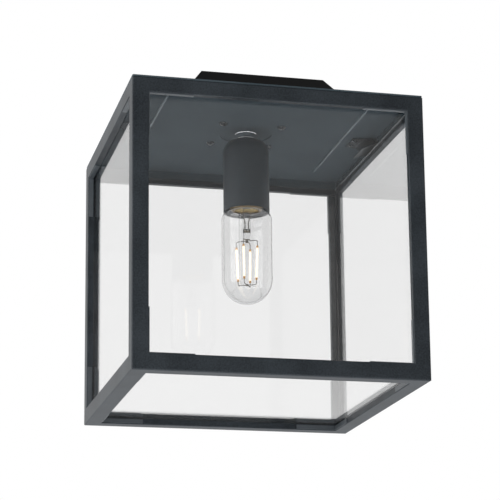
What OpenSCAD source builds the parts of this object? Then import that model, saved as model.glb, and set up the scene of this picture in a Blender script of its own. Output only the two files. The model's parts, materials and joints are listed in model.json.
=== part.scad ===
// Porch ceiling lantern: a glazed cage on a ceiling tray and pan, with one bare lamp.
// The origin is the centre of the pan's ceiling face. +Z is up, so everything hangs below z = 0.
// -Y is the front of the cage.

/* [Cage] */
// Outside width of the square cage
cage_w = 250; // [180:1:320]
// Height of the cage, from the tray's top face to the underside of the bottom rails
cage_h = 247.5; // [225:0.5:320]
// Face width of the rails and posts
rail_w = 14; // [12:0.5:22]
// Depth of the return lips, from the outer face to the pane
lip_d = 5.6; // [4:0.1:7]
// Thickness of the folded sheet of the rails and posts
rail_t = 1.5; // [0.8:0.1:2]
// Outer bend radius of the cage's outside corners
bend_r = 1.2; // [0.4:0.1:1.8]
// Bend radius of the lips' edges
lip_r = 0.7; // [0.3:0.1:1]

/* [Panes] */
// Thickness of the glass
glass_t = 3; // [2:0.5:4]
// Bedding gap between a pane and what it rests on
pane_gap = 0.2; // [0.1:0.05:0.4]

/* [Corner strips] */
// Leg length of the corner strips in each opening
strip_leg = 38; // [20:1:60]
// Thickness of the corner strips
strip_t = 0.8; // [0.5:0.1:1.5]
// Distance of a corner strip from the edges of the lip that it lies on
strip_inset = 0.9; // [0.7:0.1:1.5]

/* [Tray] */
// Thickness of the tray's sheet
tray_t = 1.5; // [1:0.1:2.5]
// Distance of the tray's edge inside the cage's outer faces
tray_inset = 0.4; // [0:0.1:2]
// Height of the rim strips under the tray
rim_h = 7.5; // [5:0.5:10]
// Thickness of the rim strips
rim_t = 1.2; // [0.8:0.1:2]
// Gap between the rim strips and the cage's top lips
rim_gap = 0.4; // [0.2:0.1:1]
// Gap between the tray's parts and the cage where they seat
seat_gap = 0.3; // [0.2:0.05:0.5]
// Radius of the two pressed beads
bead_r = 1.1; // [0.6:0.1:1.2]
// Length of the two pressed beads
bead_l = 176; // [120:1:180]
// Clear width between a bead and the foot of a clip
bead_gap = 8; // [2:0.5:14]
// Diameter of the pressed disc round the lampholder
disc_d = 46; // [43:1:52]
// Depth of the pressed disc
disc_h = 0.7; // [0.4:0.1:1.2]
// Distance of the four tray screws from the middle, along X and Y
tray_screw_at = 26.5; // [26:0.5:36]
// Length of a tray screw above the tray's underside
tray_screw_l = 9.5; // [6:0.5:14]

/* [Spring clips] */
// Width of a clip where it passes the rim
clip_w = 34; // [24:1:50]
// Width of a clip at its foot
clip_foot_w = 22; // [16:1:24]
// Thickness of the spring steel
clip_t = 0.8; // [0.5:0.1:1]
// Gap on each side of a clip in the rim's notch
notch_gap = 1; // [0.5:0.1:3]
// Distance from a clip's nose back to the end of its foot
clip_reach = 22; // [20:0.5:28]
// Distance from a clip's nose back to its bend line
clip_leaf_l = 12; // [10:0.5:13]
// Height of a clip's nose under the tray
clip_nose_drop = 4.7; // [3.5:0.1:6]
// How far a clip's tail comes back in past its bend line
clip_tail_in = 2.5; // [0:0.1:5]
// How far a clip's tail drops below its nose
clip_tail_drop = 5.2; // [3:0.1:7]
// Straight width of a clip's outline behind its nose
clip_straight = 5; // [2:0.5:8]
// Distance between the two rivets of a clip
rivet_pitch = 12; // [9:0.5:14]

/* [Ceiling pan] */
// Height of the pressed pan
pan_h = 30.8; // [28:0.1:50]
// Width of the pan's ceiling face, left to right
pan_top_w = 108; // [98:1:130]
// Depth of the pan's ceiling face, front to back
pan_top_l = 132; // [122:1:150]
// How far each side of the pan spreads out on its way down
pan_spread = 22; // [10:0.5:30]
// Thickness of the pan's sheet
pan_t = 1.2; // [0.8:0.1:2]
// Outer bend radius along the pan's top edges
pan_bend_r = 4; // [2.5:0.5:6]
// Diameter of the dished cable entry
dish_d = 28; // [25:1:34]
// Depth of the dished cable entry
dish_depth = 2; // [1.5:0.1:3]
// Distance between the two ceiling screw slots
slot_pitch = 70; // [58:1:74]
// Length of a ceiling screw slot, end to end
slot_len = 14; // [8:1:18]
// Width of a ceiling screw slot
slot_w = 5.2; // [4:0.1:6.5]

/* [Cable entry] */
// Bore of the rubber grommet
cable_bore_d = 9; // [6:0.5:11]
// Diameter of the hole that the grommet sits in
grommet_hole_d = 16; // [14:0.5:18]
// Diameter of the grommet's flanges
grommet_flange_d = 20; // [19:0.5:22]
// Thickness of the grommet's flanges
grommet_flange_t = 1.4; // [1:0.1:1.4]

/* [Fasteners] */
// Thread diameter of the tray screws and the earth stud
screw_d = 4; // [3:0.5:5]
// Head diameter of the tray screws
screw_head_d = 8; // [7:0.5:9]
// Head height of the tray screws
screw_head_h = 2.6; // [2:0.1:3]
// Radial play round screws, rivets and tubes in their holes
hole_gap = 0.15; // [0.1:0.05:0.3]
// Diameter of the standoffs between the pan and the tray
standoff_d = 9; // [8:0.5:10]
// Shank diameter of the clip rivets
rivet_d = 3; // [2:0.2:3.6]
// Head diameter of the clip rivets
rivet_head_d = 5; // [4.4:0.2:6]

/* [Lampholder] */
// Outside diameter of the lampholder cup
cup_d = 41; // [40:0.5:48]
// Length of the lampholder cup
cup_len = 66.7; // [64:0.1:90]
// Wall of the lampholder cup
cup_t = 1.4; // [0.8:0.1:2]
// Shoulder radius of the lampholder cup
cup_shoulder_r = 12.5; // [4:0.5:13]
// Diameter of the collar nut above the cup
collar_d = 19; // [16:0.5:24]
// Height of the collar nut
collar_h = 6.1; // [3:0.1:8]
// Outside diameter of the threaded hollow rod
nipple_d = 10; // [9:0.5:11]
// Bore of the threaded hollow rod
nipple_bore_d = 7; // [6.6:0.2:7.4]
// Width of the hexagonal nuts across their flats
nut_flats = 14; // [13:0.5:16]
// Thickness of the hexagonal nuts
nut_h = 4; // [3:0.5:5]
// Diameter of the ceramic core
core_d = 35; // [34:0.5:36.5]
// Height of the core's boss on the hollow rod
boss_h = 10; // [8:0.5:12]
// Diameter of the core's boss
boss_d = 18; // [16:0.5:22]
// Thickness of the core between the rod and the socket
core_floor = 6; // [4:0.5:8]

/* [Lamp] */
// Diameter of the lamp's bulb
lamp_d = 45; // [42:0.2:50]
// Length of the lamp, contact to tip
lamp_len = 114; // [110:0.2:122]
// Radius of the bulb's shoulder
shoulder_r = 9.5; // [8:0.5:11]
// Length of the lamp's cap with its contact
cap_len = 26; // [24:0.5:28]
// Crest diameter of the screw cap
cap_d = 26; // [25:0.1:26.4]
// Height of the cap's lower edge above the cup's rim
cap_recess = 3.6; // [2:0.1:6]
// Wall of the lamp's glass
bulb_t = 0.8; // [0.6:0.1:1.2]
// Length of a filament
filament_len = 31; // [26:1:34]
// Distance of the filaments' upper ends from the lamp's axis
filament_ring_r = 9.7; // [8:0.1:12]
// Thickness of a filament
filament_d = 1.9; // [1.2:0.1:2.4]
// Length of the glass stem from the cap's edge to the press
stem_l = 23; // [18:0.5:26]
// Height of the press that holds the wires
press_h = 6; // [4:0.5:8]
// Distance from the press down to the filaments
arm_drop = 6.7; // [5:0.1:8]
// Distance from the filaments down to their link
link_drop = 4; // [3:0.1:5]
// Turn of the filament ring about the lamp's axis
filament_turn = -31; // [-90:1:90]

/* [Wiring] */
// Outside diameter of a lead
lead_d = 2.2; // [1.6:0.1:2.4]
// Distance of the terminal block behind the middle
block_y = 52; // [49:1:56]
// Length of the terminal block
block_l = 30; // [28:1:40]
// Depth of the terminal block
block_w = 17; // [15:1:20]
// Distance from the terminal block to the earth stud
earth_reach = 28; // [27:0.5:30]
// Bend radius of the leads
lead_bend_r = 4; // [3.5:0.1:4.5]

/* [Hidden] */
$fn = 64;
EPS = 0.01;
SIDES = ["front", "right", "back", "left"];

// Heights
tray_top = -pan_h;
tray_under = tray_top - tray_t;
cage_low = tray_top - cage_h;
rail_top = tray_under - seat_gap;
top_opening = tray_top - rail_w;
low_opening = cage_low + rail_w;
rim_low = tray_under - rim_h;

// Plan
half = cage_w / 2;
opening_half = half - rail_w;
lip_half = half - lip_d;
pane_out = lip_half - pane_gap;
rim_out = lip_half - rim_gap;
clip_nose = lip_half - seat_gap;

// Panes
floor_pane_low = cage_low + lip_d + pane_gap;
side_pane_low = floor_pane_low + glass_t + pane_gap;
side_pane_top = rim_low - seat_gap;

// Lampholder, from the top down
disc_under = tray_under + disc_h;
disc_top = disc_under + tray_t;
cup_top = disc_under - collar_h;
cup_low = cup_top - cup_len;
cap_low = cup_low + cap_recess;
contact_tip = cap_low + cap_len;
contact_spring_h = 5;
socket_top = contact_tip + contact_spring_h;
core_low = cap_low + 3;
boss_low = socket_top + core_floor;
boss_top = boss_low + boss_h;
nipple_stop = 3;
nipple_low = boss_low + nipple_stop;
nipple_top = disc_top + nut_h + 5;
thread_pitch = 3.6;
thread_bead_r = 0.6;
cap_wall = 0.5;
cap_tube_r = cap_d / 2 - thread_bead_r;
shell_in_r = cap_d / 2 + 0.35;
shell_out_r = shell_in_r + cap_wall;
shell_top = socket_top - 3;
socket_r = shell_out_r + thread_bead_r + hole_gap;

// Lamp
lamp_r = lamp_d / 2;
lamp_tip = contact_tip - lamp_len;
bulb_low_centre = lamp_tip + lamp_r;
neck_r = cap_tube_r - cap_wall - 0.1;
rim_in_r = cup_d / 2 - cup_t;
shoulder_in = max(0, min(shoulder_r, rim_in_r - lamp_r + shoulder_r));
shoulder_drop = sqrt(pow(shoulder_r + 0.5, 2) - shoulder_in * shoulder_in);
shoulder_z = min(cup_low - shoulder_drop, cap_low - shoulder_r - 0.5);
stem_r = 4.9;
stem_t = 0.9;
stem_top = cap_low + 2;
flare_low = cap_low - 7;
neck_top = cap_low + 6;
press_w = 7;
press_t = 3.6;
press_top = cap_low - stem_l;
press_low = press_top - press_h;
filament_top = press_low - arm_drop;
filament_low = filament_top - filament_len;
filament_low_ring_r = filament_ring_r - 1.2;

// Pan
pan_slope = pan_spread / pan_h;
pan_lean = atan(pan_slope);
pan_side_shift = pan_t * sqrt(1 + pan_slope * pan_slope);

// Terminal block and leads
block_base_h = 5;
tower_h = 11;
tower_pitch = block_l / 3;
tower_l = tower_pitch - 2;
block_top = tray_top + block_base_h + tower_h;
insert_z = tray_top + block_base_h + 4;
insert_r = 2.4;
insert_bore_r = lead_d / 2 + 0.3;
terminal_screw_r = 1.7;
lead_side = lead_d / 2 + 0.5;
lead_in = 5;
rod_lead_z = nipple_top + 1 + lead_bend_r;

// Earth stud, its nut and the tag
tag_t = 0.8;
tag_d = screw_d + 5;
tag_neck_w = 3;
stud_nut_h = 3;
barrel_y = tag_d / 2 + 1;
barrel_l = 6;
barrel_d = lead_d + 1.4;
barrel_z = barrel_d / 2;
earth_y = block_y - block_w / 2 - earth_reach;

// ---- Shared shapes ----

// The sliver outside a quarter round of radius r, in the corner at the origin
module corner_cut_2d(r) {
    difference() {
        translate([-EPS, -EPS])
            square(r + EPS);
        translate([r, r])
            circle(r);
    }
}

// A section whose two outer faces lie on the axes, with a return lip at the end of each leg
module lipped_angle_2d() {
    difference() {
        union() {
            square([rail_w, rail_t]);
            square([rail_t, rail_w]);
            translate([rail_w - rail_t, 0])
                square([rail_t, lip_d]);
            translate([0, rail_w - rail_t])
                square([lip_d, rail_t]);
        }
        corner_cut_2d(bend_r);
    }
}

// A channel section: a web on the Y axis, from low to high, with a lip at each end
module channel_2d(low, high) {
    difference() {
        union() {
            translate([0, low])
                square([rail_t, high - low]);
            translate([0, low])
                square([lip_d, rail_t]);
            translate([0, high - rail_t])
                square([lip_d, rail_t]);
        }
        translate([0, high])
            mirror([0, 1])
                corner_cut_2d(lip_r);
    }
}

// Lays a section along the front side: its X points into the cage, its Y up
module along_front(length) {
    translate([-length / 2, -half, 0])
        rotate([90, 0, 90])
            linear_extrude(length)
                children();
}

// The wedge that a front rail fills between its two mitres
module front_mitre(low, high) {
    over = 1;
    reach = rail_w + over;
    translate([0, 0, low])
        linear_extrude(high - low)
            polygon([
                [-half - over, -half - over],
                [half + over, -half - over],
                [half - reach, -half + reach],
                [-half + reach, -half + reach]
            ]);
}

// The rounding of the cage's upright corners at both ends of a front rail
module upright_corner_cuts(low, high) {
    for (side = [-1, 1])
        translate([side * half, -half, low])
            linear_extrude(high - low)
                mirror([side > 0 ? 1 : 0, 0])
                    corner_cut_2d(bend_r);
}

// A round wire laid step by step from the origin along +Z. Each step is a straight length,
// a roll about the wire, and a bend towards the rolled X with bend radius r.
// The straight lengths are a hair thinner than the bends and run a little into them
module wire_run(steps, d, r, i = 0) {
    run_in = 0.1;
    thinner = 0.04;
    low_run_in = i > 0 ? run_in : 0;
    high_run_in = i < len(steps) - 1 ? run_in : 0;
    translate([0, 0, -low_run_in])
        cylinder(h = steps[i][0] + low_run_in + high_run_in, d = d - thinner);
    if (i < len(steps) - 1)
        translate([0, 0, steps[i][0]])
            rotate(steps[i][1])
                translate([r, 0, 0]) {
                    rotate([90, 0, 0])
                        mirror([1, 0, 0])
                            rotate_extrude(angle = steps[i][2])
                                translate([r, 0])
                                    circle(d = d);
                    rotate([0, steps[i][2], 0])
                        translate([-r, 0, 0])
                            wire_run(steps, d, r, i + 1);
                }
}

// A domed head with its flat face up at z = 0
module dome_head(d, h) {
    dome_r = (d * d / 4 + h * h) / (2 * h);
    rotate_extrude()
        intersection() {
            translate([0, dome_r - h])
                circle(dome_r, $fn = 256);
            translate([0, -h])
                square([d / 2, h]);
        }
}

// A tube with rounded thread crests, from low to high
module threaded_tube(in_r, out_r, low, high) {
    crests = floor((high - low - 2 * thread_bead_r) / thread_pitch);
    difference() {
        union() {
            translate([0, 0, low])
                cylinder(h = high - low, r = out_r);
            for (i = [0 : crests - 1])
                translate([0, 0, high - 2 * thread_bead_r - i * thread_pitch])
                    rotate_extrude()
                        translate([out_r, 0])
                            circle(thread_bead_r);
        }
        translate([0, 0, low - 1])
            cylinder(h = high - low + 2, r = in_r);
    }
}

module at_tray_screws() {
    for (x = [-1, 1], y = [-1, 1])
        translate([x * tray_screw_at, y * tray_screw_at, 0])
            children();
}

module at_clip_rivets() {
    for (side = [-1, 1], y = [-1, 1])
        translate([side * (clip_nose - clip_reach + rivet_head_d / 2 + 0.5), y * rivet_pitch / 2, 0])
            children();
}

// ---- Ceiling pan and its parts ----

// Upright section of the pan, standing on y = 0, with rounded upper corners
module pan_section_2d(base_half, h, r) {
    top_half = base_half - h * pan_slope;
    tangent = r * tan(pan_lean / 2);
    difference() {
        polygon([[-base_half, 0], [base_half, 0], [top_half, h], [-top_half, h]]);
        for (side = [0, 1])
            mirror([side, 0])
                translate([top_half, h])
                    difference() {
                        polygon([
                            [EPS, EPS],
                            [-tangent, EPS],
                            [-tangent, -r],
                            [tangent * sin(pan_lean) + EPS, -tangent * cos(pan_lean)]
                        ]);
                        translate([-tangent, -r])
                            circle(r);
                    }
    }
}

// A section run along Y for a length
module along_y(length) {
    translate([0, length / 2, 0])
        rotate([90, 0, 0])
            linear_extrude(length)
                children();
}

// Four-sided pan body: what the sections along X and along Y share
module pan_body(base_half_x, base_half_y, h, r) {
    intersection() {
        along_y(2 * base_half_y + 2)
            pan_section_2d(base_half_x, h, r);
        rotate([0, 0, 90])
            along_y(2 * base_half_x + 2)
                pan_section_2d(base_half_y, h, r);
    }
}

module ceiling_pan() {
    base_half_x = pan_top_w / 2 + pan_spread;
    base_half_y = pan_top_l / 2 + pan_spread;
    color("#161618")
        difference() {
            union() {
                difference() {
                    translate([0, 0, tray_top])
                        pan_body(base_half_x, base_half_y, pan_h, pan_bend_r);
                    translate([0, 0, tray_top - EPS])
                        pan_body(base_half_x - pan_side_shift, base_half_y - pan_side_shift,
                            pan_h - pan_t + EPS, pan_bend_r - pan_t);
                }
                translate([0, 0, -dish_depth - pan_t])
                    cylinder(h = dish_depth + pan_t / 2, d = dish_d + 2 * pan_t);
            }
            translate([0, 0, -dish_depth])
                cylinder(h = dish_depth + 1, d = dish_d);
            translate([0, 0, -dish_depth - pan_t - 1])
                cylinder(h = pan_t + 2, d = grommet_hole_d);
            for (side = [-1, 1])
                translate([side * slot_pitch / 2, 0, -pan_t - 1])
                    slot_cutter();
        }
}

module slot_cutter() {
    linear_extrude(pan_t + 2) {
        square([slot_len - slot_w, slot_w], center = true);
        for (end = [-1, 1])
            translate([end * (slot_len - slot_w) / 2, 0])
                circle(d = slot_w);
    }
}

module cable_grommet() {
    groove_low = -dish_depth - pan_t;
    body_r = grommet_hole_d / 2 - hole_gap / 2;
    color("#1c1c1c")
        difference() {
            union() {
                translate([0, 0, groove_low - grommet_flange_t])
                    cylinder(h = grommet_flange_t, d = grommet_flange_d);
                translate([0, 0, groove_low - grommet_flange_t])
                    cylinder(h = pan_t + 2 * grommet_flange_t, r = body_r);
                translate([0, 0, -dish_depth])
                    cylinder(h = grommet_flange_t, d = grommet_flange_d);
            }
            translate([0, 0, groove_low - grommet_flange_t - 1])
                cylinder(h = pan_t + 2 * grommet_flange_t + 2, d = cable_bore_d);
        }
}

module pan_standoffs() {
    color("#b9bcc0")
        at_tray_screws()
            difference() {
                translate([0, 0, tray_top])
                    cylinder(h = pan_h - pan_t, d = standoff_d);
                translate([0, 0, tray_top - 1])
                    cylinder(h = pan_h / 2, r = screw_d / 2 + hole_gap / 2);
            }
}

// ---- Wiring ----

module at_towers() {
    for (i = [-1 : 1])
        translate([i * tower_pitch, block_y, 0])
            children();
}

module terminal_block() {
    color("#e9e6dc")
        difference() {
            union() {
                translate([-block_l / 2, block_y - block_w / 2, tray_top])
                    cube([block_l, block_w, block_base_h]);
                at_towers()
                    translate([-tower_l / 2, -block_w / 2, tray_top + block_base_h - EPS])
                        cube([tower_l, block_w, tower_h + EPS]);
            }
            at_towers() {
                translate([0, block_w / 2 + 1, insert_z])
                    rotate([90, 0, 0])
                        cylinder(h = block_w + 2, r = insert_r + hole_gap / 2);
                for (end = [-1, 1])
                    translate([0, end * block_w / 4, insert_z])
                        cylinder(h = tower_h, r = terminal_screw_r + hole_gap);
            }
        }
}

module terminal_inserts() {
    color("#c9a650")
        at_towers()
            difference() {
                translate([0, block_w / 2 - 1, insert_z])
                    rotate([90, 0, 0])
                        cylinder(h = block_w - 2, r = insert_r);
                translate([0, block_w / 2, insert_z])
                    rotate([90, 0, 0])
                        cylinder(h = block_w, r = insert_bore_r);
                for (end = [-1, 1])
                    translate([0, end * block_w / 4, insert_z])
                        cylinder(h = insert_r + 1, r = terminal_screw_r - 0.3);
            }
}

module terminal_screws() {
    head_low = insert_z + insert_r + hole_gap;
    color("#b9bcc0")
        at_towers()
            for (end = [-1, 1])
                translate([0, end * block_w / 4, head_low])
                    difference() {
                        cylinder(h = 3.5, r = terminal_screw_r);
                        translate([-3, -0.4, 2.6])
                            cube([6, 0.8, 2]);
                    }
}

module earth_stud() {
    color("#b9bcc0")
        translate([0, earth_y, disc_top])
            cylinder(h = tag_t + stud_nut_h + 2, d = screw_d);
}

module earth_nut() {
    color("#b9bcc0")
        translate([0, earth_y, disc_top + tag_t])
            difference() {
                cylinder(h = stud_nut_h, d = tag_d * 0.8, $fn = 6);
                translate([0, 0, -1])
                    cylinder(h = stud_nut_h + 2, r = screw_d / 2 + hole_gap / 2);
            }
}

// Ring under the nut, with a barrel crimped on the lead
module earth_tag() {
    color("#c9a650")
        translate([0, earth_y, disc_top])
            difference() {
                union() {
                    cylinder(h = tag_t, d = tag_d);
                    translate([-tag_neck_w / 2, 0, 0])
                        cube([tag_neck_w, barrel_y + barrel_l, tag_t]);
                    translate([0, barrel_y + barrel_l, barrel_z])
                        rotate([90, 0, 0])
                            cylinder(h = barrel_l, d = barrel_d);
                }
                translate([0, 0, -1])
                    cylinder(h = tag_t + 2, r = screw_d / 2 + hole_gap);
                translate([0, barrel_y + barrel_l + 1, barrel_z])
                    rotate([90, 0, 0])
                        cylinder(h = barrel_l + 2, d = lead_d + hole_gap);
            }
}

// A lead from a tower of the terminal block over to the hollow rod and down to the core
module rod_lead(side) {
    start_y = block_y - block_w / 2 + lead_in;
    turn_y = block_y - block_w / 2 - 2;
    shift = tower_pitch - lead_side;
    turn = atan(shift / turn_y);
    climb = (rod_lead_z - insert_z - 2 * lead_bend_r * (1 - cos(45))) / sin(45);
    climb_reach = 2 * lead_bend_r * sin(45) + climb * cos(45);
    level = norm([shift, turn_y]) - climb_reach - lead_bend_r - lead_bend_r * sin(turn);
    translate([side * tower_pitch, start_y, insert_z])
        rotate([90, 0, 0])
            wire_run([
                [start_y - turn_y, side > 0 ? 180 : 0, turn],
                [0.5, side > 0 ? -90 : 90, 45],
                [climb, 180, 45],
                [level, 0, 90],
                [rod_lead_z - lead_bend_r - boss_low]
            ], lead_d, lead_bend_r);
}

module lead_live() {
    color("#6b3f22")
        rod_lead(-1);
}

module lead_neutral() {
    color("#2c5fa8")
        rod_lead(1);
}

module lead_earth() {
    rise = insert_z - barrel_z - disc_top;
    climb = (rise - 2 * lead_bend_r * (1 - cos(45))) / sin(45);
    color("#7a9a3a")
        translate([0, earth_y + barrel_y + 0.5, disc_top + barrel_z])
            rotate([-90, 0, 0])
                wire_run([
                    [barrel_l, -90, 45],
                    [climb, 180, 45],
                    [lead_in + 1.5]
                ], lead_d, lead_bend_r);
}

// ---- Tray ----

module tray() {
    tray_half = half - tray_inset;
    bead_x = clip_nose - clip_reach - bead_gap - bead_r;
    bead_half = bead_l / 2 - bead_r;
    color("#4d5358")
        difference() {
            union() {
                translate([0, 0, tray_under])
                    linear_extrude(tray_t)
                        difference() {
                            square(2 * tray_half, center = true);
                            for (turn = [0 : 3])
                                rotate(90 * turn)
                                    translate([-tray_half, -tray_half])
                                        corner_cut_2d(bend_r);
                        }
                for (side = [-1, 1]) {
                    translate([side * bead_x, bead_half, tray_under])
                        rotate([90, 0, 0])
                            cylinder(h = 2 * bead_half, r = bead_r);
                    for (end = [-1, 1])
                        translate([side * bead_x, end * bead_half, tray_under])
                            sphere(bead_r);
                }
                translate([0, 0, tray_top - EPS])
                    cylinder(h = disc_h + EPS, d = disc_d + 2 * tray_t);
            }
            translate([0, 0, tray_under - 1])
                cylinder(h = disc_h + 1, d = disc_d);
            translate([0, 0, tray_under])
                cylinder(h = tray_t + disc_h + 1, r = nipple_d / 2 + hole_gap);
            at_tray_screws()
                translate([0, 0, tray_under - 1])
                    cylinder(h = tray_t + 2, r = screw_d / 2 + hole_gap);
            at_clip_rivets()
                translate([0, 0, tray_under - 1])
                    cylinder(h = tray_t + 2, r = rivet_d / 2 + hole_gap);
        }
}

module tray_screws() {
    color("#5a6065")
        at_tray_screws()
            translate([0, 0, tray_under]) {
                dome_head(screw_head_d, screw_head_h);
                cylinder(h = tray_screw_l, d = screw_d);
            }
}

module rim_strips() {
    notch_half = clip_w / 2 + notch_gap;
    color("#464c52")
        difference() {
            translate([0, 0, rim_low])
                linear_extrude(rim_h)
                    difference() {
                        square(2 * rim_out, center = true);
                        square(2 * (rim_out - rim_t), center = true);
                    }
            for (side = [-1, 1])
                translate([side * rim_out - rim_t - 1, -notch_half, rim_low - 1])
                    cube([2 * rim_t + 2, 2 * notch_half, rim_h + 2]);
        }
}

// A strip of the clip's steel along a list of points, with round ends but for a square start
module clip_strip_2d(points) {
    for (i = [0 : len(points) - 2]) {
        step = points[i + 1] - points[i];
        translate(points[i])
            rotate(atan2(step.y, step.x))
                translate([0, -clip_t / 2])
                    square([norm(step), clip_t]);
        translate(points[i + 1])
            circle(d = clip_t);
    }
}

// What a clip's outline leaves of a strip, seen from below
module clip_trim() {
    outline = [
        [clip_nose + 1, clip_w / 2],
        [clip_nose - clip_straight, clip_w / 2],
        [clip_nose - clip_reach, clip_foot_w / 2]
    ];
    intersection() {
        translate([0, clip_w / 2, 0])
            rotate([90, 0, 0])
                linear_extrude(clip_w)
                    children();
        translate([0, 0, tray_under - 2 * rim_h])
            linear_extrude(3 * rim_h)
                polygon(concat(outline, [for (i = [2 : -1 : 0]) [outline[i].x, -outline[i].y]]));
    }
}

// The riveted foot of a clip stays on the tray. Its leaf turns on the bend line beside it
module clip_foot() {
    foot_l = clip_reach - clip_leaf_l - clip_t / 2 - seat_gap;
    difference() {
        clip_trim()
            translate([clip_nose - clip_reach, tray_under - clip_t])
                square([foot_l, clip_t]);
        at_clip_rivets()
            translate([0, 0, tray_under - clip_t - 1])
                cylinder(h = clip_t + 2, r = rivet_d / 2 + hole_gap);
    }
}

module clip_leaf() {
    nose_z = tray_under - clip_nose_drop;
    bend_x = clip_nose - clip_leaf_l;
    clip_trim() {
        clip_strip_2d([
            [bend_x, tray_under - seat_gap - clip_t / 2],
            [clip_nose - clip_t / 2, nose_z],
            [bend_x - clip_tail_in, nose_z - clip_tail_drop]
        ]);
        translate([bend_x, tray_under - seat_gap - clip_t / 2])
            circle(d = clip_t);
    }
}

module clip_feet() {
    color("#3c4146")
        for (side = [0, 1])
            mirror([side, 0, 0])
                clip_foot();
}

module clip_left() {
    color("#3c4146")
        mirror([1, 0, 0])
            clip_leaf();
}

module clip_right() {
    color("#3c4146")
        clip_leaf();
}

module clip_rivets() {
    color("#8d9196")
        at_clip_rivets() {
            translate([0, 0, tray_under - clip_t])
                dome_head(rivet_head_d, 1.4);
            translate([0, 0, tray_under - clip_t - EPS])
                cylinder(h = clip_t + tray_t, d = rivet_d);
        }
}

// ---- Lampholder ----

module nipple() {
    color("#c9a650")
        difference() {
            translate([0, 0, nipple_low])
                cylinder(h = nipple_top - nipple_low, d = nipple_d);
            translate([0, 0, nipple_low - 1])
                cylinder(h = nipple_top - nipple_low + 2, d = nipple_bore_d);
        }
}

module hex_nut(low) {
    difference() {
        translate([0, 0, low])
            cylinder(h = nut_h, d = nut_flats / cos(30), $fn = 6);
        translate([0, 0, low - 1])
            cylinder(h = nut_h + 2, r = nipple_d / 2 + hole_gap / 2);
    }
}

module nipple_locknut() {
    color("#b9bcc0")
        hex_nut(disc_top);
}

module collar_nut() {
    edge_r = 0.8;
    color("#dfe2e5")
        difference() {
            translate([0, 0, cup_top])
                rotate_extrude()
                    difference() {
                        square([collar_d / 2, collar_h]);
                        translate([collar_d / 2, 0])
                            mirror([1, 0])
                                corner_cut_2d(edge_r);
                        translate([collar_d / 2, collar_h])
                            mirror([1, 0])
                                mirror([0, 1])
                                    corner_cut_2d(edge_r);
                    }
            translate([0, 0, cup_top - 1])
                cylinder(h = collar_h + 2, r = nipple_d / 2 + hole_gap / 2);
        }
}

// Half section of the cup's outside, or of its hollow, from low up to the rounded shoulder
module cup_half_2d(r, low, high, shoulder) {
    translate([0, low])
        square([r, high - low - shoulder]);
    translate([0, high - shoulder - EPS])
        square([r - shoulder, shoulder + EPS]);
    intersection() {
        translate([r - shoulder, high - shoulder])
            circle(shoulder);
        translate([0, high - shoulder - EPS])
            square([r + 1, shoulder + 1]);
    }
}

module holder_cup() {
    color("#3e4346")
        difference() {
            rotate_extrude()
                difference() {
                    cup_half_2d(cup_d / 2, cup_low, cup_top, cup_shoulder_r);
                    cup_half_2d(cup_d / 2 - cup_t, cup_low - 1, cup_top - cup_t, cup_shoulder_r - cup_t);
                }
            translate([0, 0, cup_top - cup_t - 1])
                cylinder(h = cup_t + 2, r = nipple_d / 2 + hole_gap);
        }
}

module cup_nut() {
    color("#b9bcc0")
        hex_nut(cup_top - cup_t - nut_h);
}

module holder_core() {
    color("#e6e2d8")
        difference() {
            union() {
                translate([0, 0, core_low])
                    cylinder(h = boss_low - core_low, d = core_d);
                translate([0, 0, boss_low - EPS])
                    cylinder(h = boss_h, d = boss_d);
            }
            translate([0, 0, boss_low])
                cylinder(h = boss_h + 1, r = nipple_d / 2 + hole_gap / 2);
            translate([0, 0, core_low - 1])
                cylinder(h = socket_top - core_low + 1, r = socket_r);
        }
}

module screw_shell() {
    color("#c9a650") {
        threaded_tube(shell_in_r, shell_out_r, core_low, shell_top);
        difference() {
            translate([0, 0, shell_top - EPS])
                cylinder(h = socket_top - shell_top + EPS, r = shell_out_r);
            translate([0, 0, shell_top - 1])
                cylinder(h = socket_top - shell_top + 2, r = shell_out_r - cap_wall);
        }
    }
}

module centre_contact() {
    leaf_t = 0.5;
    leaf_w = 6;
    tip_z = contact_tip + seat_gap;
    points = [
        [-9, socket_top - leaf_t / 2],
        [-3, socket_top - leaf_t / 2],
        [3, tip_z + leaf_t / 2],
        [5, tip_z + leaf_t / 2 + 0.8]
    ];
    color("#c9a650")
        translate([0, leaf_w / 2, 0])
            rotate([90, 0, 0])
                linear_extrude(leaf_w)
                    for (i = [0 : len(points) - 2]) {
                        step = points[i + 1] - points[i];
                        translate(points[i])
                            rotate(atan2(step.y, step.x))
                                translate([0, -leaf_t / 2])
                                    square([norm(step), leaf_t]);
                        translate(points[i + 1])
                            circle(d = leaf_t);
                    }
}

// ---- Cage ----

// A post in the front left corner; the others are its quarter turns
module post(turn) {
    color("#33373b")
        rotate([0, 0, 90 * turn])
            translate([-half, -half, low_opening])
                linear_extrude(top_opening - low_opening)
                    difference() {
                        lipped_angle_2d();
                        translate([rail_w, 0])
                            mirror([1, 0])
                                corner_cut_2d(lip_r);
                        translate([0, rail_w])
                            mirror([0, 1])
                                corner_cut_2d(lip_r);
                    }
}

module top_rail(turn) {
    color("#33373b")
        rotate([0, 0, 90 * turn])
            difference() {
                intersection() {
                    along_front(cage_w)
                        channel_2d(top_opening, rail_top);
                    front_mitre(top_opening - 1, rail_top + 1);
                }
                along_front(2 * opening_half)
                    translate([0, top_opening])
                        corner_cut_2d(lip_r);
                upright_corner_cuts(top_opening - 1, rail_top + 1);
            }
}

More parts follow.
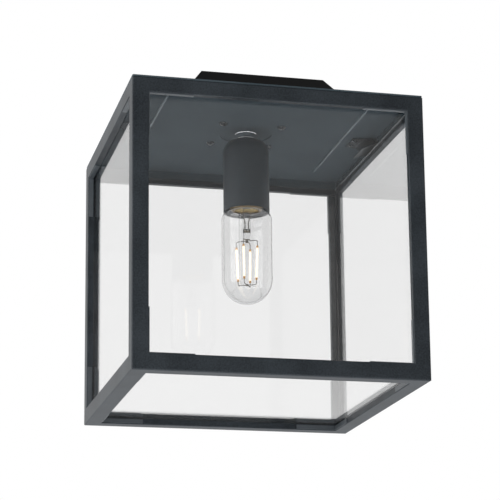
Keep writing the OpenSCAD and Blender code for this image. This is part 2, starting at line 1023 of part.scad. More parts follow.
module bottom_rail(turn) {
    color("#33373b")
        rotate([0, 0, 90 * turn])
            difference() {
                intersection() {
                    along_front(cage_w)
                        translate([0, cage_low])
                            difference() {
                                lipped_angle_2d();
                                translate([rail_w, 0])
                                    mirror([1, 0])
                                        corner_cut_2d(lip_r);
                            }
                    front_mitre(cage_low - 1, low_opening + 1);
                }
                along_front(2 * opening_half)
                    translate([0, low_opening])
                        mirror([0, 1])
                            corner_cut_2d(lip_r);
                upright_corner_cuts(cage_low - 1, low_opening + 1);
            }
}

// The front and back panes reach past the ends of the side panes
module side_pane(turn, pane_half) {
    color("#dfe9ec", 0.3)
        rotate([0, 0, 90 * turn])
            translate([-pane_half, -pane_out, side_pane_low])
                cube([2 * pane_half, glass_t, side_pane_top - side_pane_low]);
}

module pane_bottom() {
    color("#dfe9ec", 0.3)
        translate([-pane_out, -pane_out, floor_pane_low])
            cube([2 * pane_out, 2 * pane_out, glass_t]);
}

// Four L-shaped strips in the corners of an opening, in the XY plane
module opening_strips(half_x, half_y) {
    for (mx = [0, 1], my = [0, 1])
        mirror([mx, 0])
            mirror([0, my])
                translate([-half_x, -half_y]) {
                    square([strip_leg, strip_t]);
                    square([strip_t, strip_leg]);
                }
}

module corner_strips() {
    depth = lip_d - 2 * strip_inset;
    middle = (top_opening + low_opening) / 2;
    color("#5d6368") {
        for (turn = [0 : 3])
            rotate([0, 0, 90 * turn])
                translate([0, -half + strip_inset, middle])
                    rotate([-90, 0, 0])
                        linear_extrude(depth)
                            opening_strips(opening_half, (top_opening - low_opening) / 2);
        translate([0, 0, cage_low + strip_inset])
            linear_extrude(depth)
                opening_strips(opening_half, opening_half);
    }
}

// ---- Lamp ----

module lamp_cap() {
    flare_h = 2;
    color("#c2a25a") {
        threaded_tube(cap_tube_r - cap_wall, cap_tube_r, cap_low + flare_h - EPS, contact_tip - 4);
        translate([0, 0, cap_low])
            difference() {
                cylinder(h = flare_h, r1 = cap_d / 2 + 1.2, r2 = cap_tube_r);
                translate([0, 0, -EPS])
                    cylinder(h = flare_h + 1, r = cap_tube_r - cap_wall);
            }
    }
}

module lamp_insulator() {
    color("#1b1b1d")
        translate([0, 0, contact_tip - 4])
            difference() {
                cylinder(h = 3, r1 = cap_tube_r, r2 = 5.5);
                translate([0, 0, -1])
                    cylinder(h = 2, r = 4);
            }
}

module lamp_contact() {
    color("#b9bcc0")
        translate([0, 0, contact_tip])
            mirror([0, 0, 1])
                translate([0, 0, 1])
                    dome_head(9, 1);
}

// Half section of the bulb: round tip, straight side, rounded shoulder and neck.
// inset is the distance inside the glass's outer face
module bulb_half_2d(inset) {
    r = lamp_r - inset;
    side_r = shoulder_r - inset;
    intersection() {
        union() {
            translate([0, bulb_low_centre])
                circle(r);
            translate([0, bulb_low_centre])
                square([r, shoulder_z - bulb_low_centre]);
            translate([lamp_r - shoulder_r, shoulder_z])
                circle(side_r);
            translate([0, shoulder_z - EPS])
                square([lamp_r - shoulder_r, side_r + EPS]);
            translate([0, shoulder_z])
                square([neck_r - inset, neck_top - shoulder_z]);
        }
        translate([0, lamp_tip - 1])
            square([lamp_r + 1, neck_top - lamp_tip + 1]);
    }
}

module lamp_bulb() {
    color("#eef3f4", 0.3)
        rotate_extrude()
            difference() {
                bulb_half_2d(0);
                bulb_half_2d(bulb_t);
                translate([0, neck_top - 1])
                    square([neck_r - bulb_t, 2]);
            }
}

// The glass mount: a flared tube, closed below by the flattened press that holds the wires
module lamp_stem() {
    flare_r = neck_r - bulb_t - 0.1;
    color("#eef3f4", 0.4) {
        rotate_extrude()
            polygon([
                [0, press_top],
                [stem_r, press_top],
                [stem_r, flare_low],
                [flare_r, stem_top - 1],
                [flare_r, stem_top],
                [stem_r - stem_t, flare_low + 1],
                [stem_r - stem_t, press_top + stem_t],
                [0, press_top + stem_t]
            ]);
        translate([-press_w / 2, -press_t / 2, press_low])
            cube([press_w, press_t, press_top - press_low + EPS]);
    }
}

module at_filaments() {
    for (i = [0 : 3])
        rotate([0, 0, filament_turn + 90 * i])
            children();
}

// Two wires down the stem, upper arms from a hub under the press, and lower arms that join in the middle
module lamp_wires() {
    wire_d = 0.7;
    hub_d = 2.4;
    hub_h = 3;
    start = 0.5 * hub_d - wire_d;
    bend_at = 1.5;
    arm_z = press_low - hub_h / 2;
    link_z = filament_low - link_drop;
    color("#8f8a80") {
        translate([0, 0, press_low - hub_h])
            cylinder(h = hub_h, d = hub_d);
        translate([0, 0, link_z - wire_d])
            cylinder(h = 2 * wire_d, d = hub_d);
        for (side = [-1, 1])
            translate([side, 0, press_top + stem_t])
                wire_run([
                    [stem_l / 3, side > 0 ? 0 : 180, 8],
                    [stem_l / 3 * 2]
                ], wire_d, bend_at);
        at_filaments() {
            translate([start, 0, arm_z])
                rotate([0, 90, 0])
                    wire_run([
                        [filament_ring_r - bend_at - start, 0, 90],
                        [arm_z - bend_at - filament_top]
                    ], wire_d, bend_at);
            translate([start, 0, link_z])
                rotate([0, 90, 0])
                    wire_run([
                        [filament_low_ring_r - bend_at - start, 180, 90],
                        [filament_low - link_z - bend_at]
                    ], wire_d, bend_at);
        }
    }
}

module lamp_filaments() {
    color("#fff2c8")
        at_filaments() {
            lean = [filament_low_ring_r - filament_ring_r, 0, filament_low - filament_top];
            length = norm(lean);
            translate([filament_ring_r, 0, filament_top])
                rotate([0, acos(lean.z / length), atan2(lean.y, lean.x)])
                    cylinder(h = length, d = filament_d);
        }
}

// ---- What is drawn ----

ceiling_pan();
cable_grommet();
pan_standoffs();
terminal_block();
terminal_inserts();
terminal_screws();
earth_stud();
earth_nut();
earth_tag();
lead_live();
lead_neutral();
lead_earth();
tray();
tray_screws();
rim_strips();
clip_feet();
clip_left();
clip_right();
clip_rivets();
nipple();
nipple_locknut();
collar_nut();
holder_cup();
cup_nut();
holder_core();
screw_shell();
centre_contact();
post(0);  // post_front_left
post(1);  // post_front_right
post(2);  // post_back_right
post(3);  // post_back_left
top_rail(0);  // top_rail_front
top_rail(1);  // top_rail_right
top_rail(2);  // top_rail_back
top_rail(3);  // top_rail_left
bottom_rail(0);  // bottom_rail_front
bottom_rail(1);  // bottom_rail_right
bottom_rail(2);  // bottom_rail_back
bottom_rail(3);  // bottom_rail_left
side_pane(0, pane_out);  // pane_front
side_pane(1, pane_out - glass_t - pane_gap);  // pane_right
side_pane(2, pane_out);  // pane_back
side_pane(3, pane_out - glass_t - pane_gap);  // pane_left
pane_bottom();
corner_strips();
lamp_cap();
lamp_insulator();
lamp_contact();
lamp_bulb();
lamp_stem();
lamp_wires();
lamp_filaments();
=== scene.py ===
"""Looks of the porch ceiling lantern: its finishes, its small fittings, the light and the camera."""

import json
import math

import bmesh
import bpy
from mathutils import Matrix, Vector


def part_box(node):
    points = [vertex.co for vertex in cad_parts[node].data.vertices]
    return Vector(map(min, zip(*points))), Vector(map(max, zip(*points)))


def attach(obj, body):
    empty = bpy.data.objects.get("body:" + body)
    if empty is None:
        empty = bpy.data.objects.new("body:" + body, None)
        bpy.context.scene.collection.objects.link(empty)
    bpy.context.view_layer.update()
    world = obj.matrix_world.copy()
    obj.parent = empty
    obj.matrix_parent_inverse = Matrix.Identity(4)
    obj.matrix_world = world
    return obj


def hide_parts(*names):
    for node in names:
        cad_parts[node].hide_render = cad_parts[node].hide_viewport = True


MM = 0.001


# ---- Helpers for colours and materials ----

def linear(hex_colour):
    """An sRGB hex colour as a linear RGBA colour."""
    channels = [int(hex_colour[i:i + 2], 16) / 255 for i in (1, 3, 5)]
    straight = [c / 12.92 if c <= 0.04045 else ((c + 0.055) / 1.055) ** 2.4 for c in channels]
    return (*straight, 1.0)


def add_node(material, kind, settings=None, inputs=None, links=None):
    """Adds a node with its settings, its fixed inputs, and links from other nodes' outputs."""
    node = material.node_tree.nodes.new(kind)
    for name, value in (settings or {}).items():
        setattr(node, name, value)
    for socket, value in (inputs or {}).items():
        node.inputs[socket].default_value = value
    for socket, source in (links or {}).items():
        material.node_tree.links.new(source, node.inputs[socket])
    return node


def new_material(name):
    """An empty material, its output node and the object's own coordinates."""
    material = bpy.data.materials.new(name)
    material.use_nodes = True
    material.node_tree.nodes.clear()
    output = add_node(material, "ShaderNodeOutputMaterial")
    place = add_node(material, "ShaderNodeTexCoord").outputs["Object"]
    return material, output, place


def finish_surface(material, output, shader):
    """Puts the shader on the material's surface."""
    material.node_tree.links.new(shader.outputs["BSDF"], output.inputs["Surface"])
    return material


def per_metre(size_mm):
    """The scale of a pattern whose features are size_mm apart."""
    return 1 / (size_mm * MM)


def mottled_paint(name, dark, light, patch_mm, grain_mm, grain_depth_mm, rough, rough_spread, specular=0.5):
    """Paint whose tone drifts between two close colours, over a fine bumpy grain.
    A matting agent takes the specular level below the 0.5 of clear resin."""
    darkest_sum = 0.7
    lightest_sum = 1.3
    bump_strength = 0.6
    material, output, place = new_material(name)
    drift = add_node(material, "ShaderNodeTexNoise",
                     inputs={"Scale": per_metre(patch_mm), "Detail": 3.0}, links={"Vector": place})
    grain = add_node(material, "ShaderNodeTexNoise",
                     inputs={"Scale": per_metre(grain_mm), "Detail": 2.0}, links={"Vector": place})
    both = add_node(material, "ShaderNodeMath", {"operation": "ADD"},
                    links={0: drift.outputs["Fac"], 1: grain.outputs["Fac"]})
    mottle = add_node(material, "ShaderNodeMapRange",
                      inputs={"From Min": darkest_sum, "From Max": lightest_sum},
                      links={"Value": both.outputs["Value"]})
    tone = add_node(material, "ShaderNodeMix", {"data_type": "RGBA"},
                    {6: linear(dark), 7: linear(light)}, {0: mottle.outputs["Result"]})
    bump = add_node(material, "ShaderNodeBump",
                    inputs={"Strength": bump_strength, "Distance": grain_depth_mm * MM},
                    links={"Height": grain.outputs["Fac"]})
    sheen = add_node(material, "ShaderNodeMapRange",
                     inputs={"To Min": rough - rough_spread, "To Max": rough + rough_spread},
                     links={"Value": grain.outputs["Fac"]})
    shader = add_node(material, "ShaderNodeBsdfPrincipled",
                      inputs={"IOR": 1.5, "Specular IOR Level": specular},
                      links={"Base Color": tone.outputs[2], "Normal": bump.outputs["Normal"],
                             "Roughness": sheen.outputs["Result"]})
    return finish_surface(material, output, shader)


def worked_metal(name, dark, light, line_mm, rough, rough_spread, stretch=(1, 1, 12)):
    """Bare or plated metal with fine drawn or turned lines across the stretched axes."""
    material, output, place = new_material(name)
    turned = add_node(material, "ShaderNodeMapping", inputs={"Scale": stretch}, links={"Vector": place})
    lines = add_node(material, "ShaderNodeTexNoise",
                     inputs={"Scale": per_metre(line_mm) / max(stretch), "Detail": 3.0},
                     links={"Vector": turned.outputs["Vector"]})
    tone = add_node(material, "ShaderNodeMix", {"data_type": "RGBA"},
                    {6: linear(dark), 7: linear(light)}, {0: lines.outputs["Fac"]})
    sheen = add_node(material, "ShaderNodeMapRange",
                     inputs={"To Min": rough - rough_spread, "To Max": rough + rough_spread},
                     links={"Value": lines.outputs["Fac"]})
    shader = add_node(material, "ShaderNodeBsdfPrincipled", inputs={"Metallic": 1.0},
                      links={"Base Color": tone.outputs[2], "Roughness": sheen.outputs["Result"]})
    return finish_surface(material, output, shader)


# ---- The lantern's own finishes ----

def graphite_powder_coat():
    """Polyester powder coat on folded sheet: a dark grey skin with a fine orange-peel grain.
    The real grain is about 0.3 mm and is drawn at 1.3 mm, so that it shows."""
    return mottled_paint("graphite_powder_coat", "#1E252B", "#40474D",
                         patch_mm=40, grain_mm=1.3, grain_depth_mm=0.1, rough=0.46, rough_spread=0.12)


def tray_powder_coat():
    """The same coat on the tray, applied thin: flatter and a little greener. It is drawn lighter than on
    the cage, painted light for the tray that sits dim inside the panes.
    """
    # Painted light: the tray's tone is lighter than the cage's coat, to make up for the light that reaches
    # it through the glass.
    return mottled_paint("tray_coat_painted_lighter", "#46535A", "#56636A",
                         patch_mm=60, grain_mm=0.9, grain_depth_mm=0.05,
                         rough=0.76, rough_spread=0.06, specular=0.4)


def bead_highlight_coat():
    """The coat on the tray's pressed beads: smooth and glossy, and drawn much lighter than the tray's coat,
    which paints a highlight along them.
    """
    # Painted highlight: the light tone stands in for the glint along the beads.
    return mottled_paint("bead_coat_painted_highlight", "#6A7880", "#7B8990",
                         patch_mm=30, grain_mm=0.9, grain_depth_mm=0.02, rough=0.24, rough_spread=0.05)


def rim_coat():
    """The coat on the rolled rim strips: smoother than on the tray, with bright lower edges."""
    return mottled_paint("smooth_powder_coat", "#3F4B52", "#4D5A61",
                         patch_mm=40, grain_mm=0.9, grain_depth_mm=0.02, rough=0.26, rough_spread=0.05)


def pan_enamel():
    """Stoved black enamel on the pressed pan: deep black with a soft gloss."""
    return mottled_paint("black_stove_enamel", "#09090B", "#0E0E10",
                         patch_mm=30, grain_mm=2.0, grain_depth_mm=0.01,
                         rough=0.5, rough_spread=0.04, specular=0.2)


def holder_lacquer():
    """Smooth matted lacquer on the drawn cup: no grain, and a quiet bluish grey."""
    return mottled_paint("grey_cup_lacquer", "#323C43", "#3A444B",
                         patch_mm=25, grain_mm=6.0, grain_depth_mm=0.0,
                         rough=0.5, rough_spread=0.02, specular=0.4)


def strip_lacquer_and_glint():
    """Thin rolled strips, coated a little lighter than the cage; the lighter tone is partly painted
    highlight, for the glint along their edges.
    """
    # Partly painted highlight: the light tone also stands in for the glint on the strips' edges.
    return mottled_paint("rolled_strip_coat_and_glint", "#5A6065", "#676D72",
                         patch_mm=20, grain_mm=0.8, grain_depth_mm=0.01, rough=0.32, rough_spread=0.05)


def zinc_plate():
    """Bright zinc on turned and pressed steel, slightly hazy."""
    return worked_metal("zinc_plated_steel", "#A9ADB2", "#C3C7CB",
                        line_mm=0.6, rough=0.34, rough_spread=0.08)


def spring_steel():
    """Tempered spring strip, dark from the oven, with rolling lines."""
    return worked_metal("tempered_spring_steel", "#2E3437", "#434B4F",
                        line_mm=0.8, rough=0.42, rough_spread=0.08, stretch=(12, 1, 1))


def painted_filament_glow(material, share):
    """Paints the light of the filaments onto what they shine on, as a glow: a share of the surface's own
    colour.
    """
    nodes = material.node_tree.nodes
    shader = nodes["Principled BSDF"]
    material.node_tree.links.new(nodes["Mix"].outputs[2], shader.inputs["Emission Color"])
    shader.inputs["Emission Strength"].default_value = share
    return material


def chrome_plate():
    """Decorative chrome on the turned collar: a near mirror with faint turning lines."""
    return worked_metal("chrome_plated_brass", "#EFF1F3", "#FAFBFB",
                        line_mm=0.4, rough=0.14, rough_spread=0.04)


def turned_brass():
    """Plain machined brass with turning lines."""
    return worked_metal("turned_brass", "#B8923F", "#D4B165",
                        line_mm=0.5, rough=0.3, rough_spread=0.07)


def cap_brass():
    """Rolled thin sheet brass of the lamp's cap, a little dull, with a painted warm glow of the filaments
    below it.
    """
    material = worked_metal("rolled_sheet_brass", "#A98A4C", "#CBAC68",
                            line_mm=0.7, rough=0.36, rough_spread=0.08)
    return painted_filament_glow(material, share=0.25)


def support_wire():
    """Drawn nickel steel wire, greyed by the lamp's heat."""
    return worked_metal("drawn_nickel_wire", "#6E6A63", "#8D8981",
                        line_mm=0.3, rough=0.42, rough_spread=0.06)


def moulded(name, dark, light, rough):
    """Moulded plastic, rubber or pressed ceramic: an even tone with a soft, slightly uneven sheen."""
    return mottled_paint(name, dark, light,
                         patch_mm=15, grain_mm=1.2, grain_depth_mm=0.02, rough=rough, rough_spread=0.05)


def clear_glass(name, tint, rough):
    """Clear soda-lime glass. The tint is what two passes through its skin take from white."""
    ripple_mm = 60
    ripple_depth_mm = 0.02
    material, output, place = new_material(name)
    ripple = add_node(material, "ShaderNodeTexNoise",
                      inputs={"Scale": per_metre(ripple_mm), "Detail": 1.0}, links={"Vector": place})
    bump = add_node(material, "ShaderNodeBump",
                    inputs={"Strength": 0.1, "Distance": ripple_depth_mm * MM},
                    links={"Height": ripple.outputs["Fac"]})
    shader = add_node(material, "ShaderNodeBsdfPrincipled",
                      inputs={"Base Color": linear(tint), "Transmission Weight": 1.0,
                              "IOR": 1.5, "Roughness": rough},
                      links={"Normal": bump.outputs["Normal"]})
    return finish_surface(material, output, shader)


def glowing_phosphor():
    """A lit filament strip: silicone with yellow phosphor, burnt out to white but for its amber ends."""
    amber_end = 1.2 * MM
    white_from = 2.6 * MM
    amber_power = 0.3
    white_power = 1.5
    material, output, place = new_material("lit_phosphor_strip")
    low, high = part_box("lamp_filaments")
    middle = (low[2] + high[2]) / 2
    half_length = (high[2] - low[2]) / 2
    split = add_node(material, "ShaderNodeSeparateXYZ", links={"Vector": place})
    offset = add_node(material, "ShaderNodeMath", {"operation": "SUBTRACT"}, {1: middle},
                      {0: split.outputs["Z"]})
    distance = add_node(material, "ShaderNodeMath", {"operation": "ABSOLUTE"}, None,
                        {0: offset.outputs["Value"]})
    lit = add_node(material, "ShaderNodeMapRange", {"interpolation_type": "SMOOTHSTEP"},
                   {"From Min": half_length - white_from, "From Max": half_length - amber_end,
                    "To Min": 1.0, "To Max": 0.0},
                   {"Value": distance.outputs["Value"]})
    glow = add_node(material, "ShaderNodeMix", {"data_type": "RGBA"},
                    {6: linear("#E8A040"), 7: linear("#FFF9E6")}, {0: lit.outputs["Result"]})
    power = add_node(material, "ShaderNodeMapRange", None,
                     {"To Min": amber_power, "To Max": white_power}, {"Value": lit.outputs["Result"]})
    shader = add_node(material, "ShaderNodeBsdfPrincipled",
                      inputs={"Base Color": linear("#E9B45C"), "Roughness": 0.4, "IOR": 1.43},
                      links={"Emission Color": glow.outputs[2],
                             "Emission Strength": power.outputs["Result"]})
    return finish_surface(material, output, shader)


def basing_cement():
    """Basing cement baked between the glass and the cap: ochre, crumbly, with brown specks.
    The specks of about 0.2 mm are drawn at 1.6 mm, so that they show.
    It carries a painted glow, the light of the filaments below it."""
    material = mottled_paint("baked_basing_cement", "#806B42", "#D2C093",
                             patch_mm=1.6, grain_mm=0.8, grain_depth_mm=0.1, rough=0.6, rough_spread=0.1)
    return painted_filament_glow(material, share=0.6)


def blackened_steel():
    """Screws and rivets with a black passivated skin, smoother and glossier than the powder coat."""
    return mottled_paint("blackened_steel", "#22272B", "#2C3136",
                         patch_mm=6, grain_mm=2.0, grain_depth_mm=0.0, rough=0.22, rough_spread=0.04)


# ---- Small fittings ----

def turned_ring(name, profile):
    """A closed profile of (radius, height) points in metres, turned about the lamp's axis."""
    turn_steps = 64
    merge_within = 0.01 * MM
    sharp_from = math.radians(30)
    mesh = bpy.data.meshes.new(name)
    shape = bmesh.new()
    corners = [shape.verts.new((radius, 0, height)) for radius, height in profile]
    edges = [shape.edges.new((corners[i - 1], corners[i])) for i in range(len(corners))]
    bmesh.ops.spin(shape, geom=corners + edges, cent=(0, 0, 0), axis=(0, 0, 1),
                   angle=2 * math.pi, steps=turn_steps, use_merge=True)
    bmesh.ops.remove_doubles(shape, verts=shape.verts, dist=merge_within)
    bmesh.ops.recalc_face_normals(shape, faces=shape.faces)
    for face in shape.faces:
        face.smooth = True
    shape.to_mesh(mesh)
    shape.free()
    mesh.set_sharp_from_angle(angle=sharp_from)
    piece = bpy.data.objects.new(name, mesh)
    bpy.context.collection.objects.link(piece)
    return piece


def bulb_neck():
    """Inner radius of the bulb's neck and the height of the cap's lower edge, in metres."""
    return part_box("lamp_stem")[1][0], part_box("lamp_cap")[0][2]


def cement_plug():
    """The cement that holds the bulb's neck in the cap: a plug inside the neck and a ring outside it."""
    inner_r, cap_edge = bulb_neck()
    glass_out = 1.0 * MM
    cap_edge_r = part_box("lamp_cap")[1][0]
    ring_low_r = cap_edge_r - 1.2 * MM
    ring_high_r = cap_edge_r - 2.0 * MM
    floor = cap_edge + 0.3 * MM
    depth = 1.6 * MM
    sag_middle = 1.2 * MM
    sag_partway = 0.9 * MM
    ring_rise = 0.4 * MM
    partway_r = inner_r * 0.6
    plug = turned_ring("cap_cement", [
        (0, floor + sag_middle),
        (partway_r, floor + sag_partway),
        (inner_r, floor),
        (inner_r, floor + depth),
        (0, floor + depth),
    ])
    ring = turned_ring("cap_cement_ring", [
        (inner_r + glass_out, floor + ring_rise),
        (ring_low_r, floor),
        (ring_high_r, floor + depth),
        (inner_r + glass_out, floor + depth),
    ])
    cement = basing_cement()
    for piece in (plug, ring):
        piece.data.materials.append(cement)
        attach(piece, "lamp")


def glass_stem(bulb_glass):
    """The glass stem that carries the wires, its lower end pinched flat on them. It is drawn solid, because
    light that crosses the many faces of a tube inside a bulb behind a pane is lost, and it turns black."""
    into_cement = 0.6 * MM
    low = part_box("lamp_stem")[0][2]
    top = bulb_neck()[1] + into_cement
    rod_r = 3.4 * MM
    press_height = 6 * MM
    press_thin = 0.45
    pinch_length = 4 * MM
    press_top = low + press_height
    pinch_from = press_top + pinch_length
    rings = 24
    side = [(rod_r, top + (low - top) * i / rings) for i in range(rings + 1)]
    stem = turned_ring("glass_stem", [(0, top)] + side + [(0, low)])
    for corner in stem.data.vertices:
        down = (pinch_from - corner.co.z) / (pinch_from - press_top)
        pinch = min(max(down, 0.0), 1.0)
        corner.co.y *= 1 - (1 - press_thin) * pinch * pinch * (3 - 2 * pinch)
    stem.data.materials.append(bulb_glass)
    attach(stem, "lamp")
    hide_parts("lamp_stem")


def collar_rim(chrome):
    """The turned rim at the collar's upper edge, undercut a little, so that it catches the light."""
    collar_r, _, collar_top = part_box("collar_nut")[1]
    top = collar_top - 0.7 * MM
    rim_r = collar_r + 0.3 * MM
    root_r = collar_r - 1.4 * MM
    undercut = 1.2 * MM
    rim_h = 1.7 * MM
    rim = turned_ring("collar_rim", [
        (root_r, top),
        (rim_r, top),
        (rim_r - undercut, top - rim_h),
        (root_r, top - rim_h),
    ])
    rim.data.materials.append(chrome)
    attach(rim, "base")


def bead_skins():
    """A lighter skin on the tray's two pressed beads, a hair proud of them, that paints a highlight along
    each bead.
    The beads are the tray's lowest points."""
    bead_x = 88 * MM
    bead_r = 1.1 * MM
    skin_r = 1.18 * MM
    half_length = 86.9 * MM
    tray_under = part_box("tray")[0][2] + bead_r
    segments = 16
    rings = 12
    half_step = Matrix.Rotation(math.pi / segments, 3, "Z")
    # The skins wear the lighter coat that paints the beads' highlight.
    coat = bead_highlight_coat()
    for side, word in ((-1, "left"), (1, "right")):
        mesh = bpy.data.meshes.new(f"bead_skin_{word}")
        shape = bmesh.new()
        bmesh.ops.create_uvsphere(shape, u_segments=segments, v_segments=rings, radius=skin_r)
        bmesh.ops.rotate(shape, verts=shape.verts, cent=(0, 0, 0), matrix=half_step)
        for corner in shape.verts:
            corner.co.y += math.copysign(half_length, corner.co.y)
        bmesh.ops.translate(shape, verts=shape.verts, vec=(side * bead_x, 0, tray_under))
        for face in shape.faces:
            face.smooth = True
        shape.to_mesh(mesh)
        shape.free()
        skin = bpy.data.objects.new(mesh.name, mesh)
        bpy.context.collection.objects.link(skin)
        skin.data.materials.append(coat)
        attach(skin, "base")


def dress_frame(frame):
    """Gives each CAD node the material of its record slot, or its own finish where that differs."""
    finishes = {
        "black_gloss_paint": pan_enamel(),
        "black_rubber": moulded("moulded_black_rubber", "#1B1B1B", "#232323", 0.7),
        "zinc_steel": zinc_plate(),
        "terminal_plastic": moulded("moulded_nylon", "#E2DED2", "#ECE8DC", 0.45),
        "brass": turned_brass(),
        "brown_insulation": moulded("brown_silicone_lead", "#5F3A22", "#6B4228", 0.5),
        "blue_insulation": moulded("blue_silicone_lead", "#2A5FA6", "#3168B0", 0.5),
        "green_insulation": moulded("green_silicone_lead", "#5E8A34", "#74992F", 0.5),
        "graphite_powder_coat": graphite_powder_coat(),
        "spring_steel": spring_steel(),
        "chrome": chrome_plate(),
        "holder_paint": holder_lacquer(),
        "holder_ceramic": moulded("pressed_steatite", "#E4DFD3", "#EEEAE0", 0.55),
        "pane_glass": clear_glass("float_glass_pane", "#FAFAFA", rough=0.0),
        "strip_coat": strip_lacquer_and_glint(),
        "cap_brass": cap_brass(),
        "black_ceramic": moulded("black_vitrite", "#141416", "#1D1D20", 0.2),
        "bulb_glass": clear_glass("blown_bulb_glass", "#F6F6F6", rough=0.0),
        "wire_steel": support_wire(),
        "filament_phosphor": glowing_phosphor(),
    }
    slots = {part["node"]: part["material_slot"] for part in frame["record"]["subparts"]}
    dark_steel = blackened_steel()
    own_finish = {
        "tray_screws": dark_steel,
        "clip_rivets": dark_steel,
        "tray": tray_powder_coat(),
        "rim_strips": rim_coat(),
    }
    for name, node in frame["nodes"].items():
        node.data.materials.clear()
        node.data.materials.append(own_finish.get(name, finishes[slots[name]]))
    return finishes


# ---- Light, floor and camera ----

def pale_floor():
    """A plain matte floor, well below the lantern. Straight on, in metal and through glass it is lifted to
    a pale tone, and it keeps its shadows."""
    lift = 0.45
    half_size = 6
    height = -1.9
    floor_tone = linear("#F0F4F8")
    mesh = bpy.data.meshes.new("floor")
    shape = bmesh.new()
    bmesh.ops.create_grid(shape, x_segments=1, y_segments=1, size=half_size)
    bmesh.ops.translate(shape, verts=shape.verts, vec=(0, 0, height))
    shape.to_mesh(mesh)
    shape.free()
    floor = bpy.data.objects.new("floor", mesh)
    bpy.context.collection.objects.link(floor)
    material, output, _ = new_material("matte_floor_paint")
    path = add_node(material, "ShaderNodeLightPath")
    direct = add_node(material, "ShaderNodeMath", {"operation": "MAXIMUM"},
                      links={0: path.outputs["Is Camera Ray"], 1: path.outputs["Is Glossy Ray"]})
    seen = add_node(material, "ShaderNodeMath", {"operation": "MAXIMUM"},
                    links={0: direct.outputs["Value"], 1: path.outputs["Is Transmission Ray"]})
    lifted = add_node(material, "ShaderNodeMath", {"operation": "MULTIPLY"}, {1: lift},
                      {0: seen.outputs["Value"]})
    shader = add_node(material, "ShaderNodeBsdfPrincipled",
                      inputs={"Base Color": floor_tone, "Roughness": 0.9, "Emission Color": floor_tone},
                      links={"Emission Strength": lifted.outputs["Value"]})
    mesh.materials.append(finish_surface(material, output, shader))


def studio_surround(front_level, back_level, top_level):
    """A studio world: pale behind the lantern, dim on the camera's side, and dim above, as under a ceiling.
    The camera sees it plain white, straight on and through glass, and a share of that in a mirror
    image behind glass. Light that has been scattered by a surface sees its true levels."""
    mirrored_loss = 0.5
    front_until = -0.35
    back_from = 0.55
    ceiling_from = 0.35
    ceiling_full = 0.8
    world = bpy.data.worlds.new("surround")
    world.use_nodes = True
    tree = world.node_tree
    tree.nodes.clear()
    output = add_node(world, "ShaderNodeOutputWorld")
    direction = add_node(world, "ShaderNodeTexCoord")
    split = add_node(world, "ShaderNodeSeparateXYZ", links={"Vector": direction.outputs["Generated"]})
    around = add_node(world, "ShaderNodeMapRange", {"interpolation_type": "SMOOTHSTEP"},
                      {"From Min": front_until, "From Max": back_from,
                       "To Min": front_level, "To Max": back_level},
                      {"Value": split.outputs["Y"]})
    above = add_node(world, "ShaderNodeMapRange", {"interpolation_type": "SMOOTHSTEP"},
                     {"From Min": ceiling_from, "From Max": ceiling_full,
                      "To Min": 1.0, "To Max": top_level},
                     {"Value": split.outputs["Z"]})
    shaded = add_node(world, "ShaderNodeMath", {"operation": "MULTIPLY"},
                      links={0: around.outputs["Result"], 1: above.outputs["Result"]})
    path = add_node(world, "ShaderNodeLightPath")
    scatter = add_node(world, "ShaderNodeMath", {"operation": "MULTIPLY_ADD"}, {1: mirrored_loss},
                       {0: path.outputs["Glossy Depth"], 2: path.outputs["Diffuse Depth"]})
    straight = add_node(world, "ShaderNodeMath", {"operation": "SUBTRACT", "use_clamp": True}, {0: 1.0},
                        {1: scatter.outputs["Value"]})
    through_glass = add_node(world, "ShaderNodeMath", {"operation": "MULTIPLY"},
                             links={0: path.outputs["Is Transmission Ray"], 1: straight.outputs["Value"]})
    seen = add_node(world, "ShaderNodeMath", {"operation": "MAXIMUM"},
                    links={0: path.outputs["Is Camera Ray"], 1: through_glass.outputs["Value"]})
    level = add_node(world, "ShaderNodeMix", {"data_type": "FLOAT"}, {3: 1.0},
                     {0: seen.outputs["Value"], 2: shaded.outputs["Value"]})
    background = add_node(world, "ShaderNodeBackground", inputs={"Color": (1, 1, 1, 1)},
                          links={"Strength": level.outputs[0]})
    tree.links.new(background.outputs["Background"], output.inputs["Surface"])
    bpy.context.scene.world = world


def soft_lamp(name, place, target, width, height, power):
    """A large soft lamp at place, turned to target."""
    data = bpy.data.lights.new(name, "AREA")
    data.shape = "RECTANGLE"
    data.size = width
    data.size_y = height
    data.energy = power
    lamp = bpy.data.objects.new(name, data)
    lamp.location = place
    lamp.rotation_euler = (Vector(target) - Vector(place)).to_track_quat("-Z", "Y").to_euler()
    bpy.context.collection.objects.link(lamp)


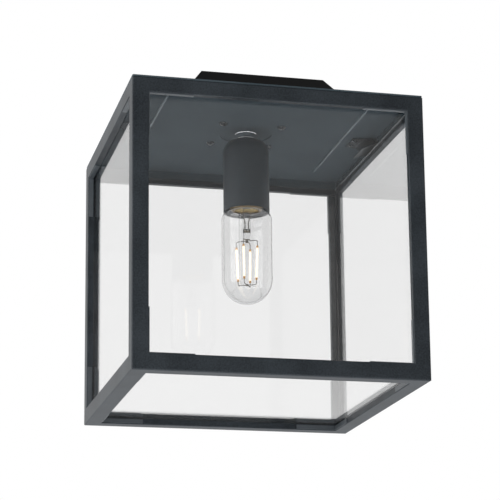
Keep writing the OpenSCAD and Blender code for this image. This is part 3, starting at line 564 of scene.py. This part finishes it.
def studio_lamps():
    """A main lamp on the left, and a weak one low in front that opens the undersides."""
    middle = (0, 0, -0.15)
    soft_lamp("left_lamp", (-2.4, -1.0, 0.2), middle, width=2.6, height=2.2, power=40)
    soft_lamp("low_lamp", (-0.3, -1.2, -1.7), middle, width=2.6, height=1.0, power=8)


def photo_camera():
    """The camera that took the photograph, found from the straight edges of the cage."""
    place = Vector((-0.37633, -1.55670, -0.59154))
    yaw = 0.2365
    pitch = 0.2188
    roll = -0.0106
    focal_px = 1877.3
    centre_px = (246.5, 356.3)
    image_px = 500
    ahead = Vector((math.sin(yaw) * math.cos(pitch), math.cos(yaw) * math.cos(pitch), math.sin(pitch)))
    level_right = Vector((math.cos(yaw), -math.sin(yaw), 0))
    level_up = level_right.cross(ahead)
    right = level_right * math.cos(roll) + level_up * math.sin(roll)
    up = level_up * math.cos(roll) - level_right * math.sin(roll)
    turn = Matrix((right, up, -ahead)).transposed()
    data = bpy.data.cameras.new("photo_camera")
    data.sensor_width = 36
    data.lens = focal_px / image_px * data.sensor_width
    data.shift_x = (image_px / 2 - centre_px[0]) / image_px
    data.shift_y = (centre_px[1] - image_px / 2) / image_px
    data.clip_end = 50
    camera = bpy.data.objects.new("photo_camera", data)
    camera.matrix_world = Matrix.Translation(place) @ turn.to_4x4()
    bpy.context.collection.objects.link(camera)
    bpy.context.scene.camera = camera


# ---- The scene ----

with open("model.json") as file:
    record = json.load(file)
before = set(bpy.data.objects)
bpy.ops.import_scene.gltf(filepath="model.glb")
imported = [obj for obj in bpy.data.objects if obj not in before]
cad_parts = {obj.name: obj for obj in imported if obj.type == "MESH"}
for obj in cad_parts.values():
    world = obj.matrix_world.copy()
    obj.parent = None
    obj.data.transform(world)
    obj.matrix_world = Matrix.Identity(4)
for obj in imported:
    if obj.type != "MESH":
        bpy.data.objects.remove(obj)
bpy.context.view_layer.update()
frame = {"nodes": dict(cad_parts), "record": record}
finishes = dress_frame(frame)
cement_plug()
glass_stem(finishes["bulb_glass"])
collar_rim(finishes["chrome"])
bead_skins()
pale_floor()
studio_surround(front_level=0.27, back_level=0.86, top_level=0.5)
studio_lamps()
photo_camera()
bpy.context.scene.view_settings.view_transform = "Standard"
